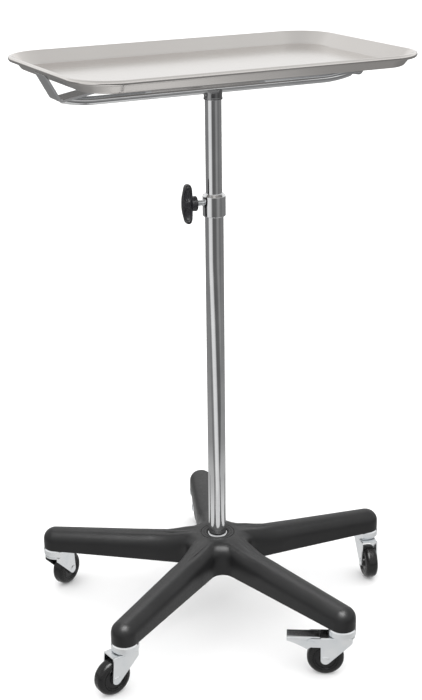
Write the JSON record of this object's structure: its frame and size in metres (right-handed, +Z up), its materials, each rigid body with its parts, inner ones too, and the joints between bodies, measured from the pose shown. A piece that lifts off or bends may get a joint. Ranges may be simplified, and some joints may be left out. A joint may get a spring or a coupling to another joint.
{
  "type": "instrument stand",
  "caption": "Wheeled instrument stand: a removable sheet-steel tray on a telescopic chrome mast with a clamp knob, on a black star base with swivel casters.",
  "frame": {"origin": "point on the floor under the axis of the mast", "axes": "+Z up along the mast, +X along the long side of the tray, -Y towards the front"},
  "size_m": [0.5277, 0.5416, 0.8169],
  "materials": {
    "tray_steel": "brushed stainless sheet, fine satin grain",
    "chrome": "polished chrome plate",
    "zinc_plate": "bright zinc plate",
    "plain_steel": "plain machined steel",
    "brass": "plain",
    "base_plastic": "black moulded, fine leather-like texture",
    "knob_plastic": "black moulded, satin",
    "nylon": "natural",
    "wheel_rubber": "hard black rubber",
    "wheel_plastic": "black moulded, satin"
  },
  "bodies": {
    "base": {"base_star": "base_plastic", "hub_cap": "base_plastic", "foot_ring": "chrome", "base_washer": "zinc_plate", "base_bolt": "zinc_plate", "tube_plug": "plain_steel", "lower_tube": "chrome", "collar": "chrome", "stem_rings": "zinc_plate", "stem_front_right": "zinc_plate", "stem_right": "zinc_plate", "stem_back": "zinc_plate", "stem_left": "zinc_plate", "stem_front_left": "zinc_plate"},
    "mast_lift": {"upper_glide": "nylon"},
    "mast_head": {"upper_tube": "chrome", "mast_socket": "chrome", "carrier_spine": "chrome", "carrier_bracket_left": "chrome", "carrier_bracket_right": "chrome"},
    "tray": {"tray": "tray_steel"},
    "clamp_slide": {"clamp_pad": "brass"},
    "clamp_knob": {"clamp_knob": "knob_plastic", "clamp_screw": "zinc_plate"},
    "fork_front_right": {"fork_front_right": "zinc_plate", "axle_front_right": "zinc_plate", "balls_front_right": "plain_steel", "brake_pin": "zinc_plate"},
    "wheel_front_right": {"wheel_core_front_right": "wheel_plastic", "tyre_front_right": "wheel_rubber"},
    "brake_lever": {"brake_lever": "zinc_plate"},
    "fork_right": {"fork_right": "zinc_plate", "axle_right": "zinc_plate", "balls_right": "plain_steel"},
    "wheel_right": {"wheel_core_right": "wheel_plastic", "tyre_right": "wheel_rubber"},
    "fork_back": {"fork_back": "zinc_plate", "axle_back": "zinc_plate", "balls_back": "plain_steel"},
    "wheel_back": {"wheel_core_back": "wheel_plastic", "tyre_back": "wheel_rubber"},
    "fork_left": {"fork_left": "zinc_plate", "axle_left": "zinc_plate", "balls_left": "plain_steel"},
    "wheel_left": {"wheel_core_left": "wheel_plastic", "tyre_left": "wheel_rubber"},
    "fork_front_left": {"fork_front_left": "zinc_plate", "axle_front_left": "zinc_plate", "balls_front_left": "plain_steel"},
    "wheel_front_left": {"wheel_core_front_left": "wheel_plastic", "tyre_front_left": "wheel_rubber"}
  },
  "joints": [
    {"name": "mast_height", "type": "slide", "parent": "base", "child": "mast_lift", "axis": [0, 0, 1], "range_m": [-0.115, 0.28]},
    {"name": "mast_swivel", "type": "hinge", "parent": "mast_lift", "child": "mast_head", "pos_m": [0, 0, 0.6], "axis": [0, 0, 1], "continuous": true},
    {"name": "tray_lift_off", "type": "slide", "parent": "mast_head", "child": "tray", "axis": [0, 0, 1], "range_m": [0, 0.06]},
    {"name": "clamp_travel", "type": "slide", "parent": "base", "child": "clamp_slide", "axis": [-0.9903, 0.1392, 0], "range_m": [0, 0.0026]},
    {"name": "clamp_turn", "type": "hinge", "parent": "clamp_slide", "child": "clamp_knob", "pos_m": [-0.03961, 0.00557, 0.6184], "axis": [-0.9903, 0.1392, 0], "range_deg": [0, 720]},
    {"name": "swivel_front_right", "type": "hinge", "parent": "base", "child": "fork_front_right", "pos_m": [0.06454, -0.24256, 0.064], "axis": [0, 0, 1], "continuous": true},
    {"name": "roll_front_right", "type": "hinge", "parent": "fork_front_right", "child": "wheel_front_right", "pos_m": [0.04568, -0.23123, 0.0254], "axis": [-0.515, -0.8572, 0], "continuous": true},
    {"name": "brake_press", "type": "hinge", "parent": "fork_front_right", "child": "brake_lever", "pos_m": [0.0294, -0.22144, 0.0518], "axis": [-0.515, -0.8572, 0], "range_deg": [0, 15]},
    {"name": "swivel_right", "type": "hinge", "parent": "base", "child": "fork_right", "pos_m": [0.25063, -0.01357, 0.064], "axis": [0, 0, 1], "continuous": true},
    {"name": "roll_right", "type": "hinge", "parent": "fork_right", "child": "wheel_right", "pos_m": [0.24457, -0.03472, 0.0254], "axis": [0.9613, -0.2756, 0], "continuous": true},
    {"name": "swivel_back", "type": "hinge", "parent": "base", "child": "fork_back", "pos_m": [0.09036, 0.23417, 0.064], "axis": [0, 0, 1], "continuous": true},
    {"name": "roll_back", "type": "hinge", "parent": "fork_back", "child": "wheel_back", "pos_m": [0.09788, 0.25484, 0.0254], "axis": [-0.9397, 0.342, 0], "continuous": true},
    {"name": "swivel_left", "type": "hinge", "parent": "base", "child": "fork_left", "pos_m": [-0.19479, 0.1583, 0.064], "axis": [0, 0, 1], "continuous": true},
    {"name": "roll_left", "type": "hinge", "parent": "fork_left", "child": "wheel_left", "pos_m": [-0.17613, 0.16996, 0.0254], "axis": [-0.5299, 0.848, 0], "continuous": true},
    {"name": "swivel_front_left", "type": "hinge", "parent": "base", "child": "fork_front_left", "pos_m": [-0.21074, -0.13634, 0.064], "axis": [0, 0, 1], "continuous": true},
    {"name": "roll_front_left", "type": "hinge", "parent": "fork_front_left", "child": "wheel_front_left", "pos_m": [-0.23247, -0.13978, 0.0254], "axis": [0.1564, -0.9877, 0], "continuous": true}
  ],
  "couplings": [
    {"joint": "clamp_travel", "follows": "clamp_turn", "m_per_rad": 0.00019894}
  ]
}
